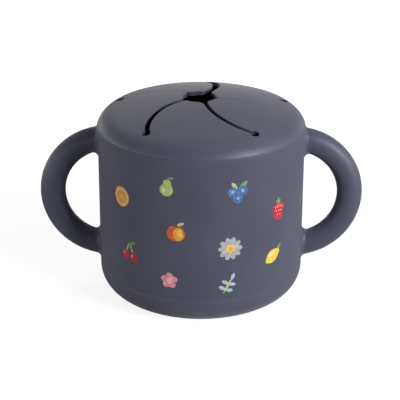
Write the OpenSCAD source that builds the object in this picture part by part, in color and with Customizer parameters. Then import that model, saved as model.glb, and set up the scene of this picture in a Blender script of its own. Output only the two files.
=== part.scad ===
// Toddler's snack cup with two ring handles and a soft lid of five spring-back flaps.
// Millimetres. Z is up, X runs through the handles, the front faces -Y.
// The origin is on the table, on the cup's axis.

/* [Cup] */
// Outside diameter of the wall at the rim
cup_d = 90.1; // [84:0.1:96]
// How much wider the wall is where the base curve starts
cup_taper = 0.3; // [0:0.1:2]
// Height of the rim above the table
rim_h = 76.6; // [74:0.1:84]
// Thickness of the wall
wall_t = 2.6; // [2:0.1:3.2]
// Thickness of the floor
floor_t = 3; // [2:0.1:5]
// Radius of the curve between the wall and the flat base
base_curve_r = 12; // [9:0.1:13]
// Height of the fine groove above the base curve
foot_line_up = 0.9; // [0.2:0.1:3]
// Height of the groove's own opening
foot_line_w = 0.7; // [0.4:0.1:1.2]
// Depth of the groove
foot_line_d = 0.2; // [0.1:0.05:0.4]

/* [Handles] */
// How far the centre of each handle's ring lies inside the wall's outer face
handle_sink = 4.5; // [2:0.1:6]
// Height that the rim stands above the top of the ring
handle_drop = 1.2; // [0.75:0.05:3]
// Radius of the ring, to the middle of the grip
handle_ring_r = 25.1; // [21:0.1:26]
// Thickness of the grip, measured outwards across the ring
grip_t = 11.1; // [10:0.1:12]
// Width of the grip from front to back
grip_w = 9.3; // [8:0.1:10]

/* [Lid] */
// Height of the dome above the seam
lid_h = 12.5; // [11:0.1:14]
// Thickness of the dome
lid_t = 1.8; // [1.4:0.1:2.2]
// How far the lid's edge stands out past the rim of the cup
lid_proud = 0.2; // [0.1:0.1:0.8]
// Gap between the lid's edge and the rim
seam_gap = 0.3; // [0.2:0.05:0.5]
// Radius of the nearly flat crown
crown_r = 124; // [110:1:140]
// Radius of the shoulder between the crown and the seam
shoulder_r = 10; // [8.5:0.1:11]
// Depth of the plug that sits inside the cup's mouth, below the rim
plug_depth = 7; // [4:0.1:10]
// Thickness of the plug
plug_t = 1.9; // [1.4:0.1:2.6]
// Clearance all round between the plug and the mouth
plug_gap = 0.3; // [0.2:0.05:0.6]

/* [Flaps] */
// Distance from the lid's edge in to the centre of each round slit end
slit_end_in = 7.5; // [6.75:0.05:9]
// Diameter of the round hole at the end of each slit
slit_end_d = 3.8; // [3.2:0.1:4.4]
// Width of a slit
slit_w = 1.3; // [1.1:0.05:1.6]
// How far a slit's curve would pass from the lid's axis, if it went on
slit_pass = 1.95; // [1:0.05:3]
// Angle on the lid between a slit's end and the centre of its curve
slit_curve_angle = 45.7; // [44:0.1:48]
// Radius of the opening in the middle of the lid
mouth_r = 6.75; // [5.5:0.05:8]
// Radius of each flap's wide, trailing corner
wide_corner_r = 4; // [2.5:0.1:5]
// Radius of each flap's narrow, leading corner
tip_corner_r = 1.5; // [0.8:0.1:2]
// Radius of the round edge that each flap turns on
hinge_r = 3; // [2.8:0.05:3.3]
// Running clearance round that edge
hinge_gap = 0.1; // [0.05:0.01:0.15]

/* [Hidden] */
$fn = 96;

FLAPS = 5;
FLAP_STEP = 360 / FLAPS;
CROWN_STEPS = 14;
SHOULDER_STEPS = 10;
SLATE = [0.29, 0.30, 0.37];
SLATE_LIGHT = [0.36, 0.37, 0.43];
SLATE_FLAP = [0.42, 0.43, 0.49];

// Cup
rim_r = cup_d / 2;
base_r = rim_r + cup_taper / 2;
inner_curve_r = base_curve_r - wall_t;
foot_line_z = base_curve_r + foot_line_up;

// Handles
handle_x = (base_r + rim_r) / 2 - handle_sink;
handle_z = rim_h - handle_drop - grip_t / 2 - handle_ring_r;

// Lid: the shoulder is tangent to the crown and ends at the seam
seam_z = rim_h + seam_gap;
seam_r = rim_r + lid_proud;
lid_top = seam_z + lid_h;
crown_c = [0, lid_top - crown_r];
shoulder_c = circles_meet(crown_c, crown_r - shoulder_r, [seam_r, seam_z], shoulder_r, 1);
join_a = atan2(shoulder_c[1] - crown_c[1], shoulder_c[0] - crown_c[0]);
plug_out_r = rim_r - wall_t - plug_gap;
plug_in_r = plug_out_r - plug_t;

// Slits and flaps, in plan: slit_x is the distance from the lid's axis to the centre of a slit's curve
slit_end_a = FLAP_STEP / 2;
slit_end_r = seam_r - slit_end_in;
slit_x = (pow(slit_end_r, 2) - pow(slit_pass, 2)) /
    (2 * (slit_end_r * cos(slit_curve_angle) - slit_pass));
slit_r = slit_x - slit_pass;

// Hinge: the straight line between the two slit ends of a flap, halfway up the arch of the dome
hinge_y = slit_end_r * cos(slit_end_a);
hinge_half = slit_end_r * sin(slit_end_a);
hinge_z = (crown_height(hinge_y, 0) + crown_height(slit_end_r, lid_t)) / 2;
hinge_len = 2 * (hinge_half - 0.35 * slit_end_d);

// Point at radius r and angle a in plan, counted from the front towards the right
function on_circle(r, a) = [r * sin(a), -r * cos(a)];

// Point where two circles cross, side 1 or -1 of the line from c1 to c2
function circles_meet(c1, r1, c2, r2, side) =
    let (
        d = norm(c2 - c1),
        u = (c2 - c1) / d,
        a = (r1 * r1 - r2 * r2 + d * d) / (2 * d),
        h = sqrt(r1 * r1 - a * a)
    )
    c1 + a * u + side * h * [-u[1], u[0]];

// Height of the crown at distance r from the axis, and depth below its top face
function crown_height(r, depth) = crown_c[1] + sqrt(pow(crown_r - depth, 2) - r * r);

// Points along an arc from angle a1 to a2, without the last one
function arc(c, r, a1, a2, n) =
    [for (i = [0:n - 1]) let (a = a1 + (a2 - a1) * i / n) c + r * [cos(a), sin(a)]];

// Angle round the shoulder's centre of the seam, and of a point of the inner face at distance r
function seam_angle(depth) = asin((seam_z - shoulder_c[1]) / (shoulder_r - depth));
function inside_angle(r) = acos((r - shoulder_c[0]) / (shoulder_r - lid_t));

// Top face of the dome from the axis to the seam, and its inner face back to the axis
function dome_top() = concat(
    arc(crown_c, crown_r, 90, join_a, CROWN_STEPS),
    arc(shoulder_c, shoulder_r, join_a, seam_angle(0), SHOULDER_STEPS),
    [[seam_r, seam_z]]);
function dome_inside(from_a) = concat(
    arc(shoulder_c, shoulder_r - lid_t, from_a, join_a, SHOULDER_STEPS),
    arc(crown_c, crown_r - lid_t, join_a, 90, CROWN_STEPS),
    [[0, lid_top - lid_t]]);

// Filled half section of a cup: straight wall from (r1, z1) to (r2, z2), curve of radius cr below
module cup_section(r1, z1, r2, z2, cr) {
    polygon([[0, z1 - cr], [r1 - cr, z1 - cr], [r1 - cr, z1], [r1, z1], [r2, z2], [0, z2]]);
    intersection() {
        translate([r1 - cr, z1]) circle(cr);
        translate([r1 - cr, z1 - cr]) square(cr);
    }
}

module cup_body() {
    inner_z = floor_t + inner_curve_r;
    color(SLATE)
    rotate_extrude()
    difference() {
        cup_section(base_r, base_curve_r, rim_r, rim_h, base_curve_r);
        cup_section(base_r - wall_t, inner_z, rim_r - wall_t, rim_h, inner_curve_r);
        translate([base_r - foot_line_d, foot_line_z])
            square([2 * foot_line_d, foot_line_w]);
    }
}

// Solid block with the cup's outer faces, carried on upwards past the rim
module cup_block() {
    over = lid_top - rim_h;
    rotate_extrude() {
        cup_section(base_r, base_curve_r, rim_r, rim_h, base_curve_r);
        translate([0, rim_h]) square([rim_r, over]);
    }
}

// Ring handle on one side: side is -1 for the left and 1 for the right
module handle(side) {
    offset_x = (grip_t - grip_w) / 2;
    color(SLATE)
    difference() {
        translate([side * handle_x, 0, handle_z])
        rotate([90, 0, 0])
        rotate_extrude()
        translate([handle_ring_r, 0]) {
            translate([-offset_x, 0]) circle(d = grip_w);
            translate([offset_x, 0]) circle(d = grip_w);
            square([2 * offset_x, grip_w], center = true);
        }
        cup_block();
    }
}

// The dome's wall, from the axis to the seam
module dome() {
    rotate_extrude()
        polygon(concat(dome_top(), dome_inside(seam_angle(lid_t))));
}

// The dome's wall with the ring that sits inside the cup's mouth, as one moulding
module dome_and_plug() {
    low = rim_h - plug_depth;
    rotate_extrude()
        polygon(concat(
            dome_top(),
            arc(shoulder_c, shoulder_r - lid_t, seam_angle(lid_t), inside_angle(plug_out_r), 3),
            [shoulder_c + (shoulder_r - lid_t) * [cos(inside_angle(plug_out_r)),
                                                  sin(inside_angle(plug_out_r))],
             [plug_out_r, low], [plug_in_r, low]],
            dome_inside(inside_angle(plug_in_r))));
}

// Round holes at both ends of the front flap's hinge line, or all round the lid
module slit_ends(first, last) {
    for (i = [first:last])
        translate(concat(on_circle(slit_end_r, (i + 0.5) * FLAP_STEP), seam_z - lid_t))
            cylinder(d = slit_end_d, h = lid_h + 2 * lid_t);
}

// Round bar along the front flap's hinge line
module hinge_bar(r, length) {
    translate([-length / 2, -hinge_y, hinge_z])
    rotate([0, 90, 0])
        cylinder(r = r, h = length);
}

module lid_ring() {
    // The middle is cut out a little inside the hinge lines, where the hinge bars take over
    cut_r = (hinge_y - hinge_r / 3) / cos(slit_end_a);
    color(SLATE_LIGHT)
    difference() {
        dome_and_plug();
        translate([0, 0, seam_z - lid_t])
            linear_extrude(lid_h + 2 * lid_t)
            polygon([for (i = [0:FLAPS - 1]) on_circle(cut_r, (i + 0.5) * FLAP_STEP)]);
        for (i = [0:FLAPS - 1])
            rotate([0, 0, i * FLAP_STEP])
                hinge_bar(hinge_r + hinge_gap, hinge_len + 2 * hinge_gap);
        slit_ends(0, FLAPS - 1);
    }
}

// Wedge between the corner of a flap and the circle that rounds it
module corner_cut(centre, r, touch1, touch2, corner) {
    difference() {
        polygon([centre, touch1, centre + 1.8 * (corner - centre), touch2]);
        translate(centre) circle(r);
    }
}

// Front flap in plan: inside the curve of the slit on its left, outside that on its right
module flap_plan() {
    left_c = on_circle(slit_x, slit_curve_angle - slit_end_a);
    right_c = on_circle(slit_x, slit_curve_angle + slit_end_a);
    left_r = slit_r - slit_w / 2;
    right_r = slit_r + slit_w / 2;
    wide_r = wide_corner_r;
    tip_r = tip_corner_r;
    wide_c = circles_meet([0, 0], mouth_r + wide_r, right_c, right_r + wide_r, -1);
    tip_c = circles_meet([0, 0], mouth_r + tip_r, left_c, left_r - tip_r, -1);
    wide_edge = circles_meet([0, 0], mouth_r, right_c, right_r, -1);
    tip_edge = circles_meet([0, 0], mouth_r, left_c, left_r, -1);
    wide_touch = wide_c * mouth_r / (mouth_r + wide_r);
    wide_side = wide_c + (right_c - wide_c) * wide_r / (right_r + wide_r);
    tip_touch = tip_c * mouth_r / (mouth_r + tip_r);
    tip_side = tip_c + (tip_c - left_c) * tip_r / (left_r - tip_r);
    difference() {
        translate(left_c) circle(left_r, $fn = 360);
        translate(right_c) circle(right_r, $fn = 360);
        circle(mouth_r);
        corner_cut(wide_c, wide_r, wide_touch, wide_side, wide_edge);
        corner_cut(tip_c, tip_r, tip_touch, tip_side, tip_edge);
    }
}

// One flap, turned round the lid by the given number of steps
module flap(step) {
    outer = slit_end_r;
    color(SLATE_FLAP)
    rotate([0, 0, step * FLAP_STEP])
    difference() {
        intersection() {
            dome();
            translate([0, 0, seam_z - lid_t]) linear_extrude(lid_h + 2 * lid_t) flap_plan();
        }
        difference() {
            translate([-slit_end_r, -hinge_y - outer, seam_z - 2 * lid_t])
                cube([2 * slit_end_r, outer, lid_h + 4 * lid_t]);
            hinge_bar(hinge_r, hinge_len);
        }
        slit_ends(-1, 0);
    }
}

module left_handle() {
    handle(-1);
}

module right_handle() {
    handle(1);
}

module flap_front() {
    flap(0);
}

module flap_right() {
    flap(1);
}

module flap_back_right() {
    flap(2);
}

module flap_back_left() {
    flap(3);
}

module flap_left() {
    flap(4);
}

cup_body();
left_handle();
right_handle();
lid_ring();
flap_front();
flap_right();
flap_back_right();
flap_back_left();
flap_left();
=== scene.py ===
import functools
import math

import bmesh
import bpy
from mathutils import Matrix, Vector
from mathutils.geometry import delaunay_2d_cdt


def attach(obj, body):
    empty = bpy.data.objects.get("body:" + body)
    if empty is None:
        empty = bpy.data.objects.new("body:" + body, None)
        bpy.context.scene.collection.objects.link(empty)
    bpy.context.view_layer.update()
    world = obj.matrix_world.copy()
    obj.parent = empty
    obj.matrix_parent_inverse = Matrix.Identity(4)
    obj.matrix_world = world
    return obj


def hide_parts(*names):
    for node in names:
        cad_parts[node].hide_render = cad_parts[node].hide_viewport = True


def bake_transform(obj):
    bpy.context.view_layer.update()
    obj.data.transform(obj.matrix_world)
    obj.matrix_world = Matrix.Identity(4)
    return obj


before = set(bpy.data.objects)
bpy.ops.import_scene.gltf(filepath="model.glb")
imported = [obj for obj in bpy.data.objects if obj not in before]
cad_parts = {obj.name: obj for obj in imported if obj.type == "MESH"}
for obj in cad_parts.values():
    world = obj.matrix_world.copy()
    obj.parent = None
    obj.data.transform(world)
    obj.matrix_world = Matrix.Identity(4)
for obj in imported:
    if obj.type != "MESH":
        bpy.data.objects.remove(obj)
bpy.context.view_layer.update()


# ---------------------------------------------------------------------------------------------
# Cup
# One soft moulding of matte slate silicone, with a flat base, a broad curve round the foot and a
# fine parting line just above it. The rim has a slight lip that catches light below the lid.

# Sizes of the pieces are in millimetres, and times MM they are in metres
MM = 0.001
rim_h = 76.6
rim_r = 45.05
base_r = 45.2
wall_t = 2.6
floor_t = 3.0
base_curve_r = 12.0
inner_curve_r = base_curve_r - wall_t
rim_round = 0.4
lip_low = 75.4
lip_r = 45.17
foot_line_z = 13.25
foot_line_half = 0.35
foot_line_d = 0.1
smooth_below = math.radians(40)
CUP_SIDES = 192
INNER_CURVE_STEPS = 14
BASE_CURVE_STEPS = 20
RIM_STEPS = 4

SLATE = (0.073, 0.077, 0.119, 1)
SLATE_WORN = (0.092, 0.096, 0.144, 1)
# Painted shade: a darker slate laid on the lid's cut faces, which are the same silicone
SLATE_PAINTED_SHADE = (0.032, 0.034, 0.052, 1)


class Reading:
    """A value read over a surface. Arithmetic on it adds Math nodes to its finish."""

    def __init__(self, finish, socket):
        self.finish = finish
        self.socket = socket

    def math(self, operation, *values):
        sockets = dict(enumerate(values))
        return self.finish.add("Math", {"operation": operation}, sockets)

    def __add__(self, other):
        return self.math("ADD", self, other)

    def __radd__(self, other):
        return self.math("ADD", other, self)

    def __sub__(self, other):
        return self.math("SUBTRACT", self, other)

    def __rsub__(self, other):
        return self.math("SUBTRACT", other, self)

    def __mul__(self, other):
        return self.math("MULTIPLY", self, other)

    def __rmul__(self, other):
        return self.math("MULTIPLY", other, self)


class Finish:
    """A material with one Principled shader, whose fixed values are set on the shader's own sockets."""

    def __init__(self, name, **fixed):
        self.material = bpy.data.materials.new(name)
        self.material.use_nodes = True
        self.tree = self.material.node_tree
        self.tree.nodes.clear()
        self.shader = self.tree.nodes.new("ShaderNodeBsdfPrincipled")
        output = self.tree.nodes.new("ShaderNodeOutputMaterial")
        self.tree.links.new(self.shader.outputs[0], output.inputs["Surface"])
        for socket, value in fixed.items():
            self.shader.inputs[socket.replace("_", " ")].default_value = value

    def add(self, kind, settings=None, sockets=None, output=0):
        """A new node: its settings first, then what its sockets hold or are linked to."""
        node = self.tree.nodes.new("ShaderNode" + kind)
        for name, value in (settings or {}).items():
            setattr(node, name, value)
        for name, value in (sockets or {}).items():
            self.feed(node.inputs[name], value)
        return Reading(self, node.outputs[output])

    def feed(self, socket, value):
        if isinstance(value, Reading):
            self.tree.links.new(value.socket, socket)
        else:
            socket.default_value = value

    def shade(self, **readings):
        for socket, value in readings.items():
            self.feed(self.shader.inputs[socket.replace("_", " ")], value)

    def place(self):
        return self.add("TexCoord", output="Object")

    def noise(self, size, detail=2, rough=0.5):
        """Soft noise whose blotches are about that many millimetres wide, from 0 to 1."""
        sockets = {"Vector": self.place(), "Scale": 1 / (size * MM), "Detail": detail, "Roughness": rough}
        return self.add("TexNoise", None, sockets)

    def stretched(self, reading, low, high, to_low, to_high):
        """The reading taken from low..high to to_low..to_high, and held there outside it."""
        sockets = {0: reading, 1: low, 2: high, 3: to_low, 4: to_high}
        return self.add("MapRange", {"clamp": True}, sockets)

    def mixed(self, factor, first, second):
        return self.add("Mix", {"data_type": "RGBA"}, {0: factor, 6: first, 7: second}, 2)

    def bumped(self, height, depth):
        """Normal for a height from 0 to 1 that stands for that many millimetres."""
        return self.add("Bump", None, {"Height": height, "Distance": depth * MM, "Strength": 1})


def silicone(name, dull, dry_from, dry_to, drier, skin=None):
    """Matte moulded silicone: a very fine grain, faint clouding and a soft dry sheen. It grows
    drier by that much from one height to another. skin reads 0 on cut faces, where painted shade darkens
    them."""
    finish = Finish(name, Specular_IOR_Level=0.5, IOR=1.41, Sheen_Weight=0.25, Sheen_Roughness=0.5)
    cloud = finish.stretched(finish.noise(24, 3), 0.35, 0.7, 0, 1)
    grain = finish.noise(0.35, 3, 0.6)
    mottle = finish.noise(1.6, 2)
    dust = finish.stretched(finish.noise(0.55, 4, 0.7), 0.62, 0.8, 0, 1)
    height = finish.add("SeparateXYZ", None, {"Vector": finish.place()}, 2)
    dry = finish.stretched(height, dry_from * MM, dry_to * MM, 0, drier)
    rough = finish.stretched(grain * 0.5 + mottle * 0.5, 0.3, 0.7, dull - 0.05, dull + 0.05)
    colour = finish.mixed(cloud * 0.55 + dust * 0.25, SLATE, SLATE_WORN)
    # Painted shade: where skin reads 0, the cut faces take the darker colour
    if skin:
        colour = finish.mixed(skin(finish), SLATE_PAINTED_SHADE, colour)
    finish.shade(
        Base_Color=colour,
        Roughness=rough + dry,
        Normal=finish.bumped(grain * 0.7 + mottle * 0.3, 0.02),
    )
    return finish.material


def new_piece(name):
    """The primitive just added, with its name, its place in its mesh and its object at the origin."""
    piece = bpy.context.object
    piece.name = piece.data.name = name
    bpy.ops.object.transform_apply(location=True, rotation=True, scale=True)
    return piece


def pick(piece, mode, test):
    """In edit mode, selects only the verts, edges or faces whose middle passes the test."""
    bpy.ops.mesh.select_mode(type=mode)
    mesh = bmesh.from_edit_mesh(piece.data)
    for item in (*mesh.verts, *mesh.edges, *mesh.faces):
        item.select_set(False)
    items = {"VERT": mesh.verts, "EDGE": mesh.edges, "FACE": mesh.faces}[mode]
    for item in items:
        corners = [item] if mode == "VERT" else item.verts
        middle = sum((corner.co for corner in corners), Vector()) / len(corners)
        if test(math.hypot(middle.x, middle.y) / MM, middle.z / MM):
            item.select_set(True)
    mesh.select_flush_mode()
    bmesh.update_edit_mesh(piece.data)


def finished(piece, material):
    """Out of edit mode, smooth but for its sharp edges, and with its material."""
    if piece.mode == "EDIT":
        bpy.ops.object.mode_set(mode="OBJECT")
    bpy.ops.object.select_all(action="DESELECT")
    piece.select_set(True)
    bpy.context.view_layer.objects.active = piece
    bpy.ops.object.shade_smooth_by_angle(angle=smooth_below)
    piece.data.materials.clear()
    piece.data.materials.append(material)
    return piece


def near(value, target, reach=0.05):
    return abs(value - target) < reach


def scaled(factor):
    bpy.ops.transform.resize(value=(factor, factor, 1), center_override=(0, 0, 0))


bpy.ops.object.select_all(action="DESELECT")
bpy.ops.mesh.primitive_cylinder_add(
    vertices=CUP_SIDES, radius=base_r * MM, depth=rim_h * MM, location=(0, 0, rim_h / 2 * MM))
cup = new_piece("cup_moulding")
bpy.ops.object.mode_set(mode="EDIT")
pick(cup, "VERT", lambda r, z: near(z, rim_h))
scaled(rim_r / base_r)
pick(cup, "FACE", lambda r, z: near(z, rim_h))
bpy.ops.mesh.inset(thickness=wall_t * MM)
bpy.ops.mesh.extrude_region_move(TRANSFORM_OT_translate={"value": (0, 0, (floor_t - rim_h) * MM)})
scaled((base_r - wall_t) / (rim_r - wall_t))
pick(cup, "EDGE", lambda r, z: near(z, floor_t))
bpy.ops.mesh.bevel(
    offset=inner_curve_r * MM, segments=INNER_CURVE_STEPS, affect="EDGES", clamp_overlap=False)
pick(cup, "EDGE", lambda r, z: near(z, 0) and r > base_r - 1)
bpy.ops.mesh.bevel(
    offset=base_curve_r * MM, segments=BASE_CURVE_STEPS, affect="EDGES", clamp_overlap=False)
pick(cup, "EDGE", lambda r, z: near(z, rim_h) and r < rim_r + 0.1 and not near(r, rim_r - wall_t / 2, 0.6))
bpy.ops.mesh.bevel(offset=rim_round * MM, segments=RIM_STEPS, affect="EDGES")
for cut_z in (foot_line_z - foot_line_half, foot_line_z, foot_line_z + foot_line_half, lip_low):
    pick(cup, "FACE", lambda r, z: r > rim_r - 0.5 and base_curve_r < z < rim_h - 0.5)
    bpy.ops.mesh.bisect(plane_co=(0, 0, cut_z * MM), plane_no=(0, 0, 1))
pick(cup, "VERT", lambda r, z: r > rim_r - 0.5 and near(z, foot_line_z, 0.1))
scaled(1 - foot_line_d / base_r)
pick(cup, "VERT", lambda r, z: r > rim_r - 0.6 and z > lip_low + 0.3)
scaled(lip_r / rim_r)
cup_silicone = silicone(
    "matte slate silicone", dull=0.48, dry_from=rim_h - rim_round, dry_to=rim_h, drier=0.35)
finished(cup, cup_silicone)
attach(cup, "cup")
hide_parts("cup_body")


# ---------------------------------------------------------------------------------------------
# Handles
# Two ring grips of solid silicone, part of the cup's moulding. Each flows into the wall through
# a soft fillet at both of its roots.

handle_x = 40.625
handle_z = 44.75
ring_r = 25.1
grip_t = 11.08
grip_w = 9.3
root_fillet = 2.2
root_sink = 0.3
merge_within = 0.001
# At this angle along the ring, up or down, the grip is well within the cup's outer face
sunk_angle = math.radians(115)
GRIP_SIDES = 64
GRIP_STEPS = 84
FILLET_STEPS = 8
HALVINGS = 40


def wall_radius(z):
    """Radius of the cup's outer face at height z, above the base curve."""
    return base_r + (rim_r - base_r) * (z - base_curve_r) / (rim_h - base_curve_r)


def grip_point(along, around, out=0.0):
    """Point that far off the grip's skin, by its angle along the ring and round the grip."""
    radial = Vector((math.cos(along), 0, math.sin(along)))
    side = Vector((0, 1, 0))
    skin = radial * (grip_t / 2 * math.cos(around)) + side * (grip_w / 2 * math.sin(around))
    normal = radial * (math.cos(around) / grip_t) + side * (math.sin(around) / grip_w)
    normal.normalize()
    return Vector((handle_x, 0, handle_z)) + radial * ring_r + skin + normal * out, normal


@functools.lru_cache(maxsize=None)
def root_angle(around, side):
    """Angle along the ring at which a ball of the fillet's size touches both the grip and the wall."""
    free, sunk = 0.0, side * sunk_angle
    for _ in range(HALVINGS):
        middle = (free + sunk) / 2
        ball, _normal = grip_point(middle, around, root_fillet)
        if math.hypot(ball.x, ball.y) > wall_radius(ball.z) + root_fillet:
            free = middle
        else:
            sunk = middle
    return free


def root_point(around, side, t):
    """Point of the fillet, from the grip at t 0 to the wall at t 1."""
    ball, normal = grip_point(root_angle(around, side), around, root_fillet)
    to_wall = Vector((-ball.x, -ball.y, 0)).normalized()
    return ball + (-normal).slerp(to_wall, t) * root_fillet, to_wall


def handle_point(u, v):
    """u runs round the grip and v from the upper root to the lower one, each from 0 to 1."""
    around = round(u * GRIP_SIDES) % GRIP_SIDES * 2 * math.pi / GRIP_SIDES
    row = round(v * GRIP_STEPS)
    side = 1 if row < GRIP_STEPS / 2 else -1
    from_end = min(row, GRIP_STEPS - row)
    if from_end == 0:
        foot, to_wall = root_point(around, side, 1)
        return foot + to_wall * root_sink
    if from_end <= FILLET_STEPS:
        return root_point(around, side, 1 - (from_end - 1) / FILLET_STEPS)[0]
    t = (row - FILLET_STEPS - 1) / (GRIP_STEPS - 2 * FILLET_STEPS - 2)
    top, bottom = root_angle(around, 1), root_angle(around, -1)
    return grip_point(top + (bottom - top) * t, around)[0]


bpy.ops.object.select_all(action="DESELECT")
bpy.ops.mesh.primitive_grid_add(x_subdivisions=GRIP_SIDES, y_subdivisions=GRIP_STEPS, size=1)
right_grip = new_piece("right_grip")
for vertex in right_grip.data.vertices:
    vertex.co = handle_point(vertex.co.x + 0.5, vertex.co.y + 0.5) * MM
bpy.ops.object.mode_set(mode="EDIT")
bpy.ops.mesh.select_all(action="SELECT")
bpy.ops.mesh.remove_doubles(threshold=merge_within * MM)
bpy.ops.mesh.select_all(action="DESELECT")
bpy.ops.mesh.select_mode(type="EDGE")
bpy.ops.mesh.select_non_manifold()
bpy.ops.mesh.fill()
bpy.ops.mesh.select_all(action="SELECT")
bpy.ops.mesh.normals_make_consistent(inside=False)
finished(right_grip, cup_silicone)

bpy.ops.object.select_all(action="DESELECT")
right_grip.select_set(True)
bpy.ops.object.duplicate()
left_grip = new_piece("left_grip")
bpy.ops.object.mode_set(mode="EDIT")
bpy.ops.mesh.select_all(action="SELECT")
bpy.ops.transform.mirror(constraint_axis=(True, False, False), center_override=(0, 0, 0))
bpy.ops.mesh.normals_make_consistent(inside=False)
finished(left_grip, cup_silicone)
for grip, node in ((right_grip, "right_handle"), (left_grip, "left_handle")):
    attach(grip, "cup")
    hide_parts(node)


# ---------------------------------------------------------------------------------------------
# Print
# Small fruit and flowers in opaque ink on the cup's wall, the same group front and back. Each
# layer of ink is a closed film, a few hundredths of a millimetre thick, that starts in the wall.

film_t = 0.015
film_sink = 0.05
stroke_w = 0.3
# A film no wider than this to each side has half as many corners
small_film = 1.2
FILM_SIDES = 48
FILM_RINGS = 5


def ink(name, colour, second):
    """Printed paint, with dry strokes of a second colour that run across the picture."""
    finish = Finish(name, IOR=1.45, Specular_IOR_Level=0.4)
    drawn_out = finish.add("Mapping", None, {"Vector": finish.place(), "Scale": (0.16, 0.16, 1)})
    brush = finish.add("TexNoise", None, {"Vector": drawn_out, "Scale": 1 / (stroke_w * MM), "Detail": 3})
    blot = finish.noise(1.5, 3)
    finish.shade(
        Base_Color=finish.mixed(
            finish.stretched(brush * 0.65 + blot * 0.35, 0.42, 0.62, 0, 1), colour, second),
        Roughness=finish.stretched(blot, 0.3, 0.7, 0.42, 0.58),
        Normal=finish.bumped(brush, 0.008),
    )
    return finish.material


ORANGE = ink("orange ink", (0.82, 0.33, 0.03, 1), (0.88, 0.45, 0.09, 1))
CREAM = ink("cream ink", (0.80, 0.62, 0.36, 1), (0.86, 0.74, 0.52, 1))
YELLOW = ink("yellow ink", (0.80, 0.56, 0.04, 1), (0.86, 0.66, 0.16, 1))
CRIMSON = ink("crimson ink", (0.45, 0.014, 0.035, 1), (0.62, 0.06, 0.10, 1))
RED = ink("red ink", (0.56, 0.05, 0.03, 1), (0.72, 0.20, 0.07, 1))
PINK = ink("pink ink", (0.72, 0.17, 0.28, 1), (0.84, 0.48, 0.56, 1))
GREEN = ink("green ink", (0.36, 0.50, 0.13, 1), (0.56, 0.68, 0.30, 1))
LEAF = ink("leaf ink", (0.14, 0.26, 0.10, 1), (0.26, 0.40, 0.17, 1))
BLUE = ink("blue ink", (0.045, 0.12, 0.31, 1), (0.14, 0.26, 0.48, 1))
PALE_BLUE = ink("pale blue ink", (0.34, 0.47, 0.60, 1), (0.55, 0.64, 0.72, 1))
GREY = ink("grey ink", (0.37, 0.36, 0.38, 1), (0.56, 0.54, 0.55, 1))
BROWN = ink("brown ink", (0.16, 0.09, 0.05, 1), (0.26, 0.16, 0.09, 1))


def disc(angle):
    return 1.0


def leaf_edge(angle, width=0.42):
    """A shape with a point at each end, that wide for its length."""
    bow = (1 - width * width) / (2 * width)
    return math.sqrt((bow * math.sin(angle)) ** 2 + 1) - bow * abs(math.sin(angle))


def stalk_edge(angle):
    return leaf_edge(angle, 0.13)


def apple_edge(angle):
    return 1 - 0.2 * max(0, math.sin(angle)) ** 10 - 0.07 * max(0, -math.sin(angle)) ** 10


def pear_edge(angle):
    up = 1.05 * math.sin(angle)
    square = 0.58 ** 2 - (1.05 * math.cos(angle)) ** 2
    neck = up + math.sqrt(square) if up > 0 and square > 0 else 0
    return (1 + neck ** 6) ** (1 / 6)


def berry_edge(angle):
    return 1 + 0.22 * max(0, -math.sin(angle)) ** 3 - 0.14 * max(0, math.sin(angle)) ** 4


def lemon_edge(angle):
    return 0.82 + 0.2 * abs(math.cos(angle)) ** 9


def blossom_edge(angle):
    return 0.7 + 0.3 * abs(math.cos(2.5 * angle)) ** 0.8


def crown_edge(angle):
    return 0.4 + 0.6 * abs(math.cos(2.5 * angle)) ** 3


def segment_edge(angle):
    """A wedge of orange, point down, with soft corners."""
    third = 2 * math.pi / 3
    return (0.5 / math.cos((angle + math.pi / 2) % third - third / 2)) ** 0.75


def film(arc, height, layer, edge, half_w, half_h, x, y, turn, paint):
    """One film of ink, wrapped on the wall: its place is an arc length and a height. Its edge
    wavers a little, as a hand-painted one does."""
    around = FILM_SIDES if half_w > small_film else FILM_SIDES // 2
    rows = 2 * FILM_RINGS + 1
    bpy.ops.object.select_all(action="DESELECT")
    bpy.ops.mesh.primitive_grid_add(x_subdivisions=around, y_subdivisions=rows, size=1)
    piece = new_piece("film")
    turn = math.radians(turn)
    for vertex in piece.data.vertices:
        angle = round((vertex.co.x + 0.5) * around) % around * 2 * math.pi / around
        row = round((vertex.co.y + 0.5) * rows)
        reach = min(row, rows - row) / FILM_RINGS * edge(angle)
        reach *= 1 + 0.015 * math.sin(3 * angle + arc) + 0.012 * math.sin(7 * angle + height)
        across, up = half_w * reach * math.cos(angle), half_h * reach * math.sin(angle)
        along = (arc + x + across * math.cos(turn) - up * math.sin(turn)) / base_r
        z = height + y + across * math.sin(turn) + up * math.cos(turn)
        r = wall_radius(z) + (layer * film_t if row <= FILM_RINGS else -film_sink)
        vertex.co = Vector((r * math.sin(along), -r * math.cos(along), z)) * MM
    bpy.ops.object.mode_set(mode="EDIT")
    bpy.ops.mesh.select_all(action="SELECT")
    bpy.ops.mesh.remove_doubles(threshold=merge_within * MM)
    bpy.ops.mesh.normals_make_consistent(inside=False)
    return finished(piece, paint)


def round_about(count, radius, first=0.0):
    """Places evenly round a middle, each with the turn that points its top outwards."""
    for i in range(count):
        angle = first + 360 * i / count
        yield radius * math.cos(math.radians(angle)), radius * math.sin(math.radians(angle)), angle - 90


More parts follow.
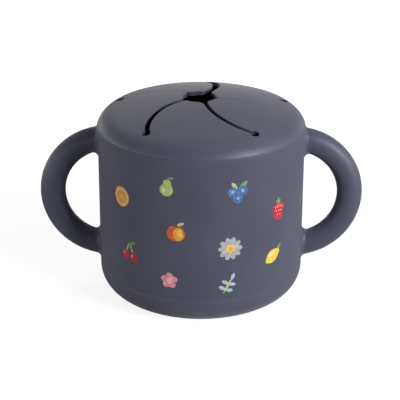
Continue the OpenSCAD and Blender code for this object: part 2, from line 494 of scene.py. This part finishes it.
# Each picture: arc length and height of its middle, then its films, as layer, outline, half
# width and height, place, turn and ink
PICTURES = {
    "pear": (-14, 64, [
        (1, stalk_edge, 1.5, 1.5, 0.2, 3.9, 80, BROWN), (1, leaf_edge, 1.6, 1.6, 1.8, 4.3, 25, LEAF),
        (2, pear_edge, 2.9, 2.8, 0, -0.9, -6, GREEN), (3, disc, 0.7, 1.2, -1.2, -1.0, 12, CREAM)]),
    "blueberries": (16, 62, [
        (1, leaf_edge, 2.4, 2.4, 2.4, 3.0, 40, LEAF), (1, leaf_edge, 2.0, 2.0, -1.6, 3.0, 130, GREEN),
        (2, disc, 2.2, 2.2, -2.2, 0.2, 0, BLUE), (3, disc, 2.3, 2.3, 1.9, 0.4, 0, BLUE),
        (4, disc, 2.1, 2.1, -0.1, -2.6, 0, BLUE), (4, crown_edge, 0.9, 0.9, -2.4, 0.4, 10, PALE_BLUE),
        (4, crown_edge, 0.9, 0.9, 2.1, 0.6, 40, PALE_BLUE),
        (5, crown_edge, 0.8, 0.8, 0, -2.7, 0, PALE_BLUE)]),
    "orange_slice": (-37, 55, [
        (1, disc, 4.5, 4.5, 0, 0, 0, ORANGE), (2, disc, 3.9, 3.9, 0, 0, 0, CREAM),
        *[(3, segment_edge, 1.35, 1.75, x, y, turn, ORANGE) for x, y, turn in round_about(8, 2.2, 10)]]),
    "strawberry": (37, 50, [
        (1, berry_edge, 3.5, 3.9, 0, -0.3, 6, CRIMSON), (2, crown_edge, 2.6, 1.5, -0.2, 3.1, 96, LEAF),
        *[(2, disc, 0.22, 0.38, x, y, 0, CREAM) for x, y in (
            (-1.9, 1.0), (-0.5, 1.2), (1.0, 0.9), (2.1, 0.8), (-1.4, -0.8), (0.2, -0.9), (1.6, -1.0),
            (-0.7, -2.5), (0.9, -2.7))]]),
    "apple": (-10, 44, [
        (1, stalk_edge, 1.4, 1.4, 0.2, 4.2, 75, BROWN), (1, leaf_edge, 1.7, 1.7, 2.0, 4.3, 20, GREEN),
        (2, apple_edge, 3.9, 3.8, 0, 0, 0, RED), (3, disc, 2.3, 2.9, 1.0, -0.3, 0, ORANGE),
        (4, disc, 1.0, 1.7, 1.6, 0.2, 0, YELLOW)]),
    "daisy": (13, 37, [
        *[(1 + i % 2, disc, 1.15, 2.1, x, y, turn, GREY)
          for i, (x, y, turn) in enumerate(round_about(10, 3.2))],
        (3, disc, 1.8, 1.8, 0, 0, 0, YELLOW), (4, disc, 0.9, 0.9, 0.1, -0.1, 0, ORANGE)]),
    "cherries": (-33, 31, [
        (1, stalk_edge, 3.0, 3.0, -0.8, 1.5, 68, GREEN), (1, stalk_edge, 3.0, 3.0, 1.5, 1.3, 112, GREEN),
        (2, leaf_edge, 1.8, 1.8, 2.1, 4.2, 12, LEAF), (2, disc, 2.2, 2.2, -2.1, -1.9, 0, CRIMSON),
        (2, disc, 2.2, 2.2, 2.5, -2.3, 0, CRIMSON), (3, disc, 0.5, 0.8, -2.9, -1.3, -25, PINK),
        (3, disc, 0.5, 0.8, 1.7, -1.7, -25, PINK)]),
    "lemon": (34, 29, [
        (1, leaf_edge, 2.0, 2.0, 3.6, 3.2, 50, LEAF), (2, lemon_edge, 4.3, 3.5, 0, 0, 28, YELLOW),
        (3, disc, 1.6, 0.6, -0.9, 1.0, 30, CREAM)]),
    "blossom": (-13, 22, [
        (1, blossom_edge, 3.7, 3.7, 0, 0, 18, PINK), (2, disc, 1.1, 1.1, 0, 0, 0, CREAM),
        *[(3, disc, 0.22, 0.22, x, y, 0, ORANGE) for x, y, _turn in round_about(5, 0.6, 20)]]),
    "sprig": (12, 20, [
        (1, stalk_edge, 4.2, 4.2, 0, 0, 62, GREEN),
        *[(2, leaf_edge, 1.7, 1.9, x, y, turn, PALE_BLUE) for x, y, turn in (
            (-2.5, -0.9, 150), (0.6, -2.2, -5), (-1.2, 1.6, 150), (1.9, 0.4, -5), (2.2, 4.0, 70))]]),
}

for name, (arc, height, films) in PICTURES.items():
    layers = [film(arc, height, *row) for row in films]
    bpy.ops.object.select_all(action="DESELECT")
    for layer in layers:
        layer.select_set(True)
    bpy.context.view_layer.objects.active = layers[0]
    bpy.ops.object.join()
    front = new_piece("print_front_" + name)
    bpy.ops.object.duplicate()
    back = new_piece("print_back_" + name)
    bpy.ops.object.mode_set(mode="EDIT")
    bpy.ops.mesh.select_all(action="SELECT")
    bpy.ops.transform.resize(value=(-1, -1, 1), center_override=(0, 0, 0))
    bpy.ops.object.mode_set(mode="OBJECT")
    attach(front, "cup")
    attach(back, "cup")


# ---------------------------------------------------------------------------------------------
# Lid
# A soft silicone dome with a plug that sits inside the cup's mouth. Five round holes end the
# slits that cut its flaps free, and the flaps grow out of it along a straight line each.

lid_top = 89.37
lid_t = 1.8
seam_z = 76.9
lid_edge_z = 76.63
seam_r = 45.245
crown_r = 124.0
shoulder_r = 10.0
edge_round = 0.1
plug_low = 69.6
plug_out_r = 42.15
plug_in_r = 40.25
plug_round = 0.6
slit_end_r = 37.75
slit_end_d = 3.8
FLAPS = 5
STEP = math.radians(360 / FLAPS)
LID_SIDES = 240
crown_z = lid_top - crown_r
hinge_y = slit_end_r * math.cos(STEP / 2)
hinge_half = slit_end_r * math.sin(STEP / 2)
free_half = hinge_half - slit_end_d / 2
soft_edge = 0.35
hold_edge = 0.55
fill_circle_r = 40.7
mesh_step = 1.1
lid_merge_within = 0.01
# How far the points within a face keep from those on its edge
ring_clearance = 0.55 * mesh_step
# The longest step along an arc, and the most that one step turns
arc_step = 0.8
arc_turn = math.radians(14)
# The dome's faces are meshed on rings from this radius to this far short of their outer circle
first_ring_r = 31.5
last_ring_margin = 0.7
SHOULDER_STEPS = 16
INNER_STEPS = 3
ROUND_STEPS = 4


def on_circle(r, angle):
    """Point in plan, counted from the front towards the right."""
    return Vector((r * math.sin(angle), -r * math.cos(angle)))


def circles_meet(c1, r1, c2, r2, side):
    """Where two circles in plan cross, side 1 or -1 of the line from c1 to c2."""
    apart = (c2 - c1).length
    along = (r1 * r1 - r2 * r2 + apart * apart) / (2 * apart)
    unit = (c2 - c1) / apart
    off = math.sqrt(r1 * r1 - along * along)
    return c1 + unit * along + Vector((-unit.y, unit.x)) * off * side


shoulder_c = circles_meet(
    Vector((0, crown_z)), crown_r - shoulder_r, Vector((seam_r, seam_z)), shoulder_r, 1)
join = (shoulder_c - Vector((0, crown_z))).normalized()


def dome_z(r, depth=0.0):
    """Height of the dome's top face at radius r, or of the face that lies depth below it."""
    if r <= join.x * (crown_r - depth):
        return crown_z + math.sqrt((crown_r - depth) ** 2 - r * r)
    return shoulder_c.y + math.sqrt(max(0, (shoulder_r - depth) ** 2 - (r - shoulder_c.x) ** 2))


def arc_points(centre, r, start, end, solid_side, soft=(1, 1)):
    """Points, normals and edge softness along an arc in plan. solid_side is 1 where the lid is
    outside the arc's circle and -1 where it is inside, and soft is the softness at both ends."""
    first, last = start - centre, end - centre
    from_angle = math.atan2(first.y, first.x)
    turn = (math.atan2(last.y, last.x) - from_angle + math.pi) % (2 * math.pi) - math.pi
    steps = max(2, math.ceil(abs(turn) * r / arc_step), math.ceil(abs(turn) / arc_turn))
    run = []
    for i in range(steps + 1):
        angle = from_angle + turn * i / steps
        out = Vector((math.cos(angle), math.sin(angle)))
        run.append((centre + out * r, out * solid_side, soft[0] + (soft[1] - soft[0]) * i / steps))
    return run


def chord_points(inner):
    """Points along the front flap's straight edge, between x -inner and inner."""
    count = math.ceil(2 * inner / mesh_step)
    return [Vector((inner * (2 * i / count - 1), -hinge_y)) for i in range(count + 1)]


def soft_section(soft=1.0):
    """Section of a rounded edge, as distances in from the edge and down from the face."""
    r = soft_edge * soft
    return [(hold_edge, 0.0), (r, 0.0)] + [
        (r * (1 - math.sin(math.radians(a))), r * (1 - math.cos(math.radians(a)))) for a in (30, 60, 90)]


def lifted(point, drop=0.0):
    return Vector((point.x, point.y, dome_z(point.length) - drop))


def underside(point):
    return Vector((point.x, point.y, dome_z(point.length, lid_t)))


def add_face(mesh, corners):
    mesh.faces.new([mesh.verts.new(corner * MM) for corner in corners])


def add_rim(mesh, run):
    """The rounded edge and upright wall along a run of outline points."""
    columns = []
    for point, normal, soft in run:
        edge = [lifted(point + normal * e, drop) for e, drop in soft_section(soft)]
        columns.append(edge + [underside(point)])
    for left, right in zip(columns, columns[1:]):
        for i in range(len(left) - 1):
            add_face(mesh, (left[i], left[i + 1], right[i + 1], right[i]))


def inside_loops(point, loops):
    """Whether a point in plan lies inside the outer loop and outside the others."""
    odd = False
    for loop in loops:
        for a, b in zip(loop, loop[1:] + loop[:1]):
            if (a.y > point.y) != (b.y > point.y):
                if point.x < a.x + (b.x - a.x) * (point.y - a.y) / (b.y - a.y):
                    odd = not odd
    return odd


def clear_of(point, loops, reach):
    return all((point - corner).length > reach for loop in loops for corner in loop)


def add_fill(mesh, loops, face_of, radii):
    """A face of the lid between loops in plan, meshed on rings round the lid's axis."""
    points, edges = [], []
    for loop in loops:
        first = len(points)
        points += loop
        edges += [(first + i, first + (i + 1) % len(loop)) for i in range(len(loop))]
    for r in radii:
        count = max(6, round(2 * math.pi * r / mesh_step))
        for i in range(count):
            point = on_circle(r, 2 * math.pi * i / count)
            if inside_loops(point, loops) and clear_of(point, loops, ring_clearance):
                points.append(point)
    verts, _edges, faces = delaunay_2d_cdt(points, edges, [], 0, 1e-6)[:3]
    for face in faces:
        corners = [verts[i] for i in face]
        if inside_loops(sum(corners, Vector((0, 0))) / 3, loops):
            add_face(mesh, [face_of(corner) for corner in corners])


def rings(low, high):
    count = max(1, round((high - low) / mesh_step))
    return [low + (high - low) * i / count for i in range(count + 1)]


def turned(point, step):
    """A point in plan turned with the flap by that many steps."""
    c, s = math.cos(step * STEP), math.sin(step * STEP)
    return Vector((c * point.x - s * point.y, s * point.x + c * point.y))


def mesh_piece(name, mesh, material):
    """A piece from a bmesh whose faces were added one by one: joined up and turned outwards."""
    bmesh.ops.remove_doubles(mesh, verts=mesh.verts, dist=lid_merge_within * MM)
    bmesh.ops.holes_fill(mesh, edges=mesh.edges, sides=4)
    bmesh.ops.recalc_face_normals(mesh, faces=mesh.faces)
    if mesh.calc_volume(signed=True) < 0:
        bmesh.ops.reverse_faces(mesh, faces=mesh.faces)
    data = bpy.data.meshes.new(name)
    mesh.to_mesh(data)
    mesh.free()
    piece = bpy.data.objects.new(name, data)
    bpy.context.collection.objects.link(piece)
    return finished(piece, material)


def add_chord_wall(mesh, spin):
    """The hidden upright face on a flap's straight edge, between its two rounded ends."""
    points = [spin(point) for point in chord_points(free_half - hold_edge)]
    for left, right in zip(points, points[1:]):
        add_face(mesh, (lifted(left), lifted(right), underside(right), underside(left)))
    for side in (-1, 1):
        corner = [spin(Vector((side * (free_half - e), -hinge_y))) for e, _drop in soft_section()]
        profile = [lifted(point, drop) for point, (_e, drop) in zip(corner, soft_section())]
        add_face(mesh, profile + [underside(corner[-1]), underside(corner[0])])


def add_edges(mesh, run, spin):
    """The edges along a run and along a flap's straight edge. Gives back their part of the outlines
    of the upper and the lower face."""
    add_rim(mesh, run)
    add_chord_wall(mesh, spin)
    chord = [spin(point) for point in chord_points(free_half - hold_edge)]
    upper = chord + [point + normal * hold_edge for point, normal, _soft in run[1:-1]]
    lower = [spin(Vector((-free_half, -hinge_y)))] + chord + [row[0] for row in run[:-1]]
    return upper, lower


ring = bmesh.new()
upper_loop, lower_loop = [], []
for k in range(FLAPS):
    spin = functools.partial(turned, step=k)
    hole = on_circle(slit_end_r, STEP / 2)
    start = hole + Vector((-slit_end_d / 2, 0))
    far = hole + hole.normalized() * slit_end_d / 2
    next_start = turned(Vector((-free_half, -hinge_y)), 1)
    run = arc_points(hole, slit_end_d / 2, start, far, 1)[:-1]
    run += arc_points(hole, slit_end_d / 2, far, next_start, 1)
    run = [(spin(point), spin(normal), soft) for point, normal, soft in run]
    upper, lower = add_edges(ring, run, spin)
    upper_loop += upper
    lower_loop += lower

circle = [on_circle(1, 2 * math.pi * i / LID_SIDES) for i in range(LID_SIDES)]
for outer, loop, face_of in ((fill_circle_r, upper_loop, lifted), (plug_in_r, lower_loop, underside)):
    radii = rings(first_ring_r, outer - last_ring_margin)
    add_fill(ring, [[point * outer for point in circle], loop], face_of, radii)


def arc_profile(centre, r, from_deg, to_deg, steps):
    """Points of a section, as radius and height, along an arc."""
    for i in range(steps + 1):
        angle = math.radians(from_deg + (to_deg - from_deg) * i / steps)
        yield Vector((centre[0] + r * math.cos(angle), centre[1] + r * math.sin(angle)))


shoulder_from = math.degrees(math.acos((fill_circle_r - shoulder_c.x) / shoulder_r))
shoulder_to = math.degrees(math.asin((seam_z - shoulder_c.y) / shoulder_r))
inner_to = math.degrees(math.asin((seam_z - shoulder_c.y) / (shoulder_r - lid_t)))
inner_from = math.degrees(math.acos((plug_out_r - shoulder_c.x) / (shoulder_r - lid_t)))
inner_edge_r = shoulder_c.x + math.sqrt((shoulder_r - lid_t) ** 2 - (seam_z - shoulder_c.y) ** 2)
edge_c = (seam_r - edge_round, lid_edge_z + edge_round)
plug_out_c = (plug_out_r - plug_round, plug_low + plug_round)
plug_in_c = (plug_in_r + plug_round, plug_low + plug_round)
section = list(arc_profile(shoulder_c, shoulder_r, shoulder_from, shoulder_to, SHOULDER_STEPS))
section += list(arc_profile(edge_c, edge_round, 0, -90, ROUND_STEPS))
section.append(Vector((inner_edge_r, lid_edge_z)))
section += list(arc_profile(shoulder_c, shoulder_r - lid_t, inner_to, inner_from, INNER_STEPS))
section += list(arc_profile(plug_out_c, plug_round, 0, -90, ROUND_STEPS))
section += list(arc_profile(plug_in_c, plug_round, -90, -180, ROUND_STEPS))
section.append(Vector((plug_in_r, dome_z(plug_in_r, lid_t))))
for a, b in zip(circle, circle[1:] + circle[:1]):
    for p, q in zip(section, section[1:]):
        add_face(ring, [Vector((c.x * s.x, c.y * s.x, s.y)) for c, s in ((a, p), (a, q), (b, q), (b, p))])

# The colour turns from the silicone's own to painted shade between these depths under the dome,
# and back to its own between these heights over the underside and between these reaches past the cuts
top_band = (0.2, 0.5)
under_band = (0.02, 0.1)
outer_band = (0.1, 0.3)


def free_of_painted_shade(finish):
    """1 on the lid's moulded faces and 0 on its cuts, where shade is painted; told apart by their depth under
    the dome.
    """
    place = finish.place()
    middle = (0, 0, crown_z * MM)
    from_crown = finish.add("VectorMath", {"operation": "DISTANCE"}, {0: place, 1: middle}, 1)
    in_plan = finish.add("VectorMath", {"operation": "MULTIPLY"}, {0: place, 1: (1, 1, 0)})
    from_axis = finish.add("VectorMath", {"operation": "LENGTH"}, {0: in_plan}, 1)
    under_r = crown_r - lid_t
    cuts_r = slit_end_r + slit_end_d / 2
    top = finish.stretched(from_crown, (crown_r - top_band[1]) * MM, (crown_r - top_band[0]) * MM, 0, 1)
    under = finish.stretched(from_crown, (under_r + under_band[0]) * MM, (under_r + under_band[1]) * MM, 1, 0)
    beyond = finish.stretched(from_axis, (cuts_r + outer_band[0]) * MM, (cuts_r + outer_band[1]) * MM, 0, 1)
    return top + under + beyond


# The lid's silicone has painted shade on its cut faces
lid_silicone = silicone(
    "matte slate lid silicone", dull=0.46, dry_from=79.5, dry_to=83.0, drier=0.32, skin=free_of_painted_shade)
lid = mesh_piece("lid_dome", ring, lid_silicone)
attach(lid, "lid")
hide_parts("lid_ring")


# ---------------------------------------------------------------------------------------------
# Flaps
# Five curved leaves of the lid's own wall, between the slits. Each meets the lid along a straight line
# between two round holes, and its free edges have the soft roundness of a moulded edge.

slit_pass = 1.95
slit_angle = math.radians(45.7)
mouth_r = 7.1
wide_corner_r = 4.0
tip_corner_r = 1.5
slit_corner_r = 0.7
bend_reach = 6.0
slit_x = (slit_end_r ** 2 - slit_pass ** 2) / (2 * (slit_end_r * math.cos(slit_angle) - slit_pass))
slit_r = slit_x - slit_pass
# The leaves' faces are meshed on rings between these radii
leaf_ring_from = 7.5
leaf_ring_to = 36
FLAP_NAMES = ["front", "right", "back_right", "back_left", "left"]
# Width, edge softness and lean in degrees of the slit on the right of each flap. Use has spread
# them unevenly and has pulled the mouth a little off the middle.
SLITS = [(1.6, 0.8, 0), (0.16, 0.3, 3.2), (3.0, 0.8, 0), (0.16, 0.3, 0), (2.3, 0.8, 0)]
mouth_middle = Vector((-0.9, -0.5))


def leaning(centre, hole, lean):
    """The middle of a slit's circle, turned about the hole at the slit's end."""
    c, s = math.cos(math.radians(lean)), math.sin(math.radians(lean))
    arm = centre - hole
    return hole + Vector((c * arm.x - s * arm.y, s * arm.x + c * arm.y))


def toward(centre, target, r):
    """The point of a circle in plan that lies towards the target."""
    return centre + (target - centre).normalized() * r


def flap_outline(left_slit, right_slit, axis):
    """The front flap's free edge in plan, from the right end of its straight edge to the left end."""
    (left_w, left_soft, left_lean), (right_w, right_soft, right_lean) = left_slit, right_slit
    left_r, right_r = slit_r - left_w / 2, slit_r + right_w / 2
    hole_r, corner_r = slit_end_d / 2, slit_corner_r
    right_hole, left_hole = Vector((hinge_half, -hinge_y)), Vector((-hinge_half, -hinge_y))
    left_c = leaning(on_circle(slit_x, slit_angle - STEP / 2), left_hole, left_lean)
    right_c = leaning(on_circle(slit_x, slit_angle + STEP / 2), right_hole, right_lean)
    wide_c = circles_meet(axis, mouth_r + wide_corner_r, right_c, right_r + wide_corner_r, -1)
    tip_c = circles_meet(axis, mouth_r + tip_corner_r, left_c, left_r - tip_corner_r, -1)
    right_corner = circles_meet(right_hole, hole_r + corner_r, right_c, right_r + corner_r, 1)
    left_corner = circles_meet(left_hole, hole_r + corner_r, left_c, left_r - corner_r, 1)
    stops = [
        right_hole + Vector((-hole_r, 0)),
        toward(right_hole, right_corner, hole_r),
        toward(right_c, right_corner, right_r),
        toward(right_c, wide_c, right_r),
        toward(axis, wide_c, mouth_r),
        toward(axis, tip_c, mouth_r),
        toward(left_c, tip_c, left_r),
        toward(left_c, left_corner, left_r),
        toward(left_hole, left_corner, hole_r),
        left_hole + Vector((hole_r, 0)),
    ]
    # Each arc from one stop to the next: centre, radius, side of the solid, softness at both ends
    arcs = [
        (right_hole, hole_r, 1, 1, 1),
        (right_corner, corner_r, -1, 1, right_soft),
        (right_c, right_r, 1, right_soft, right_soft),
        (wide_c, wide_corner_r, -1, right_soft, 1),
        (axis, mouth_r, 1, 1, 1),
        (tip_c, tip_corner_r, -1, 1, left_soft),
        (left_c, left_r, -1, left_soft, left_soft),
        (left_corner, corner_r, -1, left_soft, 1),
        (left_hole, hole_r, 1, 1, 1),
    ]
    run = []
    for (centre, r, solid_side, *soft), start, end in zip(arcs, stops, stops[1:]):
        run = run[:-1] + arc_points(centre, r, start, end, solid_side, soft)
    return run


for k, name in enumerate(FLAP_NAMES):
    spin = functools.partial(turned, step=k)
    outline = flap_outline(SLITS[k - 1], SLITS[k], turned(mouth_middle, -k))
    run = [(spin(point), spin(normal), soft) for point, normal, soft in outline]
    leaf = bmesh.new()
    upper, lower = add_edges(leaf, run, spin)
    add_fill(leaf, [upper], lifted, rings(leaf_ring_from, leaf_ring_to))
    add_fill(leaf, [lower], underside, rings(leaf_ring_from, leaf_ring_to))
    flap = mesh_piece(name + "_leaf", leaf, lid_silicone)
    body = "flap_" + name
    line = spin(Vector((0, -hinge_y)))
    inboard = spin(Vector((0, -hinge_y + bend_reach)))
    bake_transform(flap)
    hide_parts(body)


# ---------------------------------------------------------------------------------------------
# Floor and light
# A plain white sweep, a hair below the cup. The strongest lamp stands to the front right, a little
# above the cup. Weaker ones fill in the other sides, all low but the one straight behind.

floor_drop = 0.05
# In metres: the sweep's width, how far from its middle it starts and ends growing white, how far
# off the lamps stand, and the point they face
floor_w = 6
grey_to = 0.1
white_from = 0.5
lamp_distance = 1.3
lamp_aim = Vector((0, 0, 0.05))
# The sky as it lights the scene. The camera sees it plain white.
sky_strength = 0.05

bpy.ops.object.select_all(action="DESELECT")
bpy.ops.mesh.primitive_plane_add(size=floor_w, location=(0, 0, -floor_drop * MM))
floor = new_piece("floor")
white = Finish("white sweep", Base_Color=(0.3, 0.3, 0.3, 1), Roughness=0.9, Specular_IOR_Level=0.1)
seen = white.add("LightPath", output="Is Camera Ray")
reach = white.add("VectorMath", {"operation": "LENGTH"}, {0: white.place()}, 1)
whiteness = white.stretched(reach, grey_to, white_from, 0, 1)
near_by = white.mixed(whiteness, (0.88, 0.88, 0.88, 1), (1, 1, 1, 1))
white.shade(Emission_Color=white.mixed(seen, (0, 0, 0, 1), near_by))
white.shader.inputs["Emission Strength"].default_value = 1
floor.data.materials.append(white.material)


def lamp(name, bearing, rise, width, height, power):
    """A soft box turned to face the cup, at a bearing counted from the front towards the right."""
    flat, side = math.cos(math.radians(rise)), math.radians(bearing)
    away = Vector((flat * math.sin(side), -flat * math.cos(side), math.sin(math.radians(rise))))
    light = bpy.data.lights.new(name, "AREA")
    light.energy = power
    light.shape = "RECTANGLE"
    light.size, light.size_y = width, height
    box = bpy.data.objects.new(name, light)
    bpy.context.collection.objects.link(box)
    box.location = lamp_aim + away * lamp_distance
    box.rotation_euler = away.to_track_quat("Z", "Y").to_euler()


lamp("key", 51, 20, 0.5, 0.35, 17)
lamp("right", 92, 12, 0.6, 0.4, 2.7)
lamp("left", -50, 2, 1.4, 0.2, 4)
lamp("far left", -100, 3, 1.2, 0.3, 4.4)
lamp("rear", 180, 60, 0.7, 0.7, 3.6)
lamp("rear left", -150, 3, 1, 0.4, 2.5)
lamp("rear right", 150, 3, 1, 0.4, 1.4)

world = bpy.data.worlds.new("studio")
bpy.context.scene.world = world
world.use_nodes = True
sky = world.node_tree
background = sky.nodes["Background"]
path = sky.nodes.new("ShaderNodeLightPath")
strength = sky.nodes.new("ShaderNodeMix")
strength.inputs[2].default_value = sky_strength
strength.inputs[3].default_value = 1.0
sky.links.new(path.outputs["Is Camera Ray"], strength.inputs[0])
sky.links.new(strength.outputs[0], background.inputs["Strength"])
background.inputs["Color"].default_value = (1, 1, 1, 1)


# ---------------------------------------------------------------------------------------------
# Camera
# A long lens a little above the cup, as in the photograph. It was fitted to the outline, the seam
# under the lid and the ends of the slits.

camera_distance = 579.2
camera_pitch = math.radians(23.07)
camera_yaw = math.radians(0.72)
camera_roll = math.radians(0.13)
aim_x = -0.47
aim_z = 40.47
focal_length = 117.0
sensor_w = 36

camera_lens = bpy.data.cameras.new("camera")
camera_lens.lens = focal_length
camera_lens.sensor_width = sensor_w
camera = bpy.data.objects.new("camera", camera_lens)
bpy.context.collection.objects.link(camera)
turn = Matrix.Rotation(camera_yaw, 4, "Z")
place = turn @ Vector((aim_x, -camera_distance * math.cos(camera_pitch),
                       aim_z + camera_distance * math.sin(camera_pitch)))
tilt = Matrix.Rotation(math.pi / 2 - camera_pitch, 4, "X") @ Matrix.Rotation(camera_roll, 4, "Z")
camera.matrix_world = Matrix.Translation(place * MM) @ turn @ tilt
bpy.context.scene.camera = camera

bpy.context.scene.view_settings.view_transform = "Standard"
